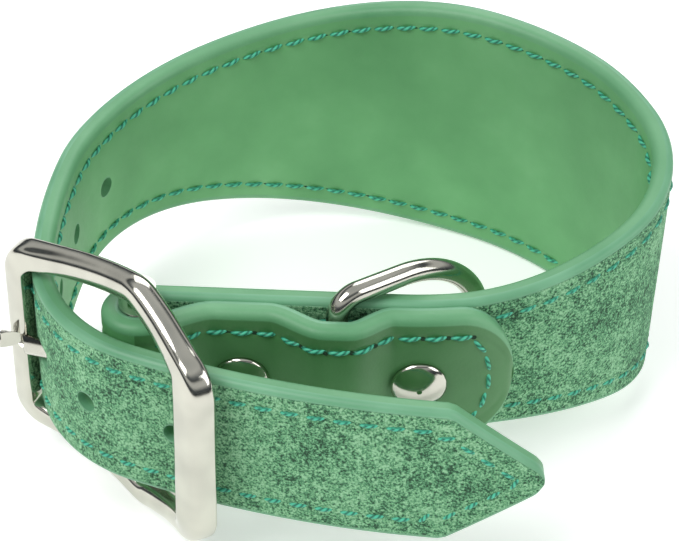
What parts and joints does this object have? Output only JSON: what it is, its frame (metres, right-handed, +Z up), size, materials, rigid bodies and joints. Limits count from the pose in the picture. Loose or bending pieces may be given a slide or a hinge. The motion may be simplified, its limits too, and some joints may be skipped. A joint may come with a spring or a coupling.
{
  "type": "hound collar",
  "caption": "Tapered stitched leather neck strap that closes on itself with a centre-bar buckle and prong, with a D-ring held in the turned-back end by domed rivets.",
  "frame": {"origin": "centre of the collar's box in plan, on the surface that its lower edge stands on", "axes": "+Z up through the neck opening, +Y from the buckle towards the wide back, +X towards the side of the free end's tip"},
  "size_m": [0.1214, 0.108, 0.056],
  "materials": {
    "suede": "napped suede, dyed green",
    "lining": "smooth satin, dyed green",
    "buckle_metal": "polished nickel plate",
    "bar_metal": "polished nickel plate",
    "ring_metal": "polished nickel plate",
    "rivet_metal": "polished nickel plate"
  },
  "bodies": {
    "strap": {"suede_outer": "suede", "smooth_lining": "lining", "rivet_a_cap": "rivet_metal", "rivet_a_post": "rivet_metal", "rivet_b_cap": "rivet_metal", "rivet_b_post": "rivet_metal"},
    "frame": {"buckle_frame": "buckle_metal", "buckle_center_bar": "bar_metal"},
    "prong": {"buckle_prong": "bar_metal"},
    "ring": {"d_ring": "ring_metal"}
  },
  "joints": [
    {"name": "buckle_turn", "type": "hinge", "parent": "strap", "child": "frame", "pos_m": [-0.03482, -0.02937, 0.02801], "axis": [0, 0, 1], "range_deg": [0, 2]},
    {"name": "prong_turn", "type": "hinge", "parent": "frame", "child": "prong", "pos_m": [-0.03482, -0.02937, 0.02801], "axis": [0, 0, 1], "range_deg": [0, 4]},
    {"name": "ring_swing", "type": "hinge", "parent": "strap", "child": "ring", "pos_m": [-0.00032, -0.02898, 0.02801], "axis": [0, 0, 1], "range_deg": [0, 100]}
  ]
}
